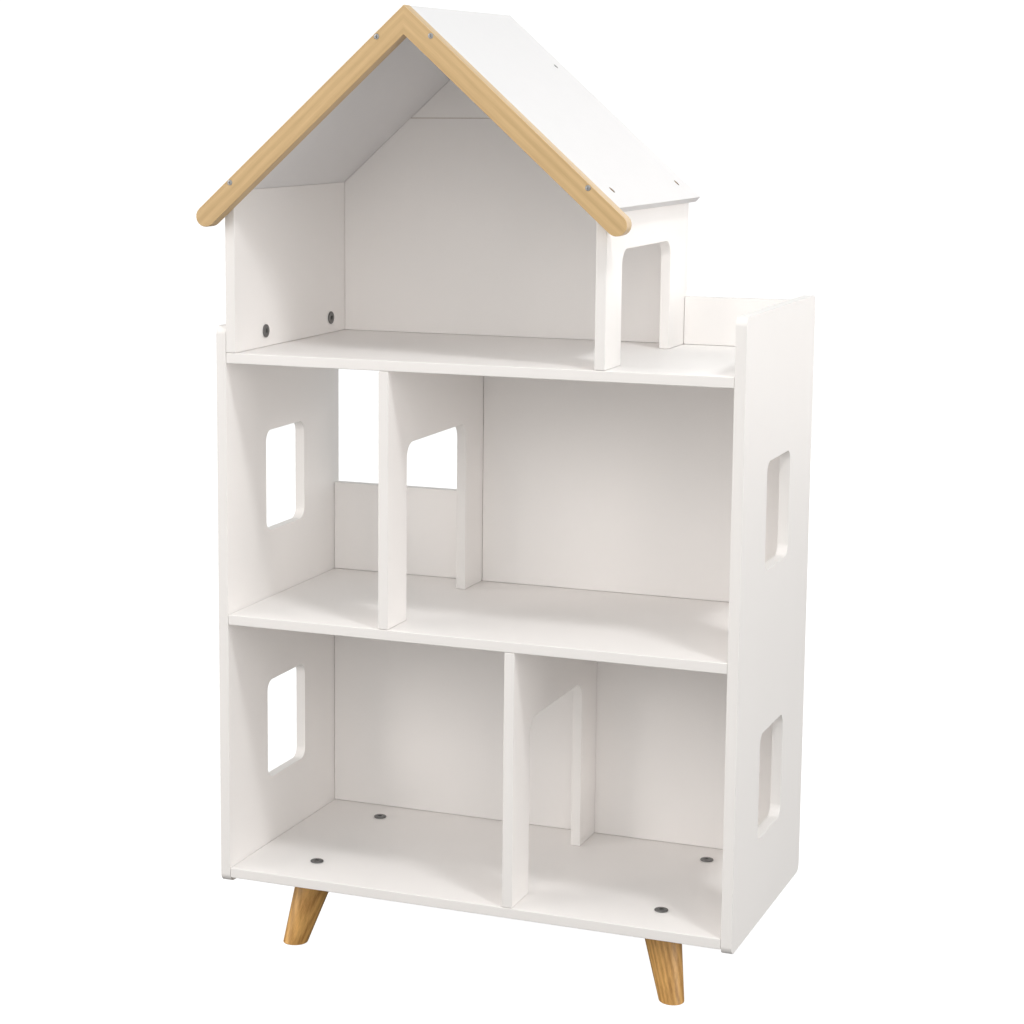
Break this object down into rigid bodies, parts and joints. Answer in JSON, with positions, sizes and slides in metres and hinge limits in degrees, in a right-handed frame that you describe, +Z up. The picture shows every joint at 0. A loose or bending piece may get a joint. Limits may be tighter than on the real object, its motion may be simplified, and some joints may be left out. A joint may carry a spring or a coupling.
{
  "type": "dollhouse",
  "caption": "Open-fronted wooden dollhouse bookcase with painted floors, walls and windows, a pitched attic roof with natural wood trim, a terrace and splayed legs.",
  "frame": {"origin": "on the ground, under the middle of the bounding box", "axes": "+Z up, +X to the right seen from the open front, the open front faces -Y"},
  "size_m": [0.635, 0.3344, 1.0981],
  "materials": {
    "white_paint": "satin white paint on medium-density fibreboard",
    "pine_trim": "natural pine, clear satin varnish, grain along the board",
    "pine_leg": "turned natural pine, clear satin varnish",
    "bare_wood": "bare beech, unfinished",
    "steel": "dull zinc-plated steel"
  },
  "bodies": {
    "root": {"attic_back_gable": "white_paint", "attic_back_lower": "white_paint", "attic_bolt_front": "steel", "attic_bolt_rear": "steel", "attic_insert_front": "steel", "attic_insert_rear": "steel", "attic_left_wall": "white_paint", "attic_right_wall": "white_paint", "bottom_back_panel": "white_paint", "bottom_board": "white_paint", "bottom_divider": "white_paint", "dowel_bottom_board_left_front": "bare_wood", "dowel_bottom_board_left_rear": "bare_wood", "dowel_bottom_board_right_front": "bare_wood", "dowel_bottom_board_right_rear": "bare_wood", "dowel_middle_shelf_left_front": "bare_wood", "dowel_middle_shelf_left_rear": "bare_wood", "dowel_middle_shelf_right_front": "bare_wood", "dowel_middle_shelf_right_rear": "bare_wood", "dowel_top_shelf_left_front": "bare_wood", "dowel_top_shelf_left_rear": "bare_wood", "dowel_top_shelf_right_front": "bare_wood", "dowel_top_shelf_right_rear": "bare_wood", "left_side_panel": "white_paint", "leg_bolt_front_left": "steel", "leg_bolt_front_right": "steel", "leg_bolt_rear_left": "steel", "leg_bolt_rear_right": "steel", "leg_front_left": "pine_leg", "leg_front_right": "pine_leg", "leg_insert_front_left": "steel", "leg_insert_front_right": "steel", "leg_insert_rear_left": "steel", "leg_insert_rear_right": "steel", "leg_rear_left": "pine_leg", "leg_rear_right": "pine_leg", "middle_back_panel": "white_paint", "middle_divider": "white_paint", "middle_low_panel": "white_paint", "middle_shelf": "white_paint", "right_side_panel": "white_paint", "roof_cleat": "bare_wood", "roof_screw_left_front": "steel", "roof_screw_left_rear": "steel", "roof_screw_right_front": "steel", "roof_screw_right_rear": "steel", "roof_screw_right_upper": "steel", "roof_sheet_left": "white_paint", "roof_sheet_right": "white_paint", "roof_trim_left": "pine_trim", "roof_trim_right": "pine_trim", "terrace_rail": "white_paint", "top_shelf": "white_paint", "trim_screw_left_lower": "steel", "trim_screw_left_upper": "steel", "trim_screw_right_lower": "steel", "trim_screw_right_upper": "steel"}
  },
  "joints": []
}
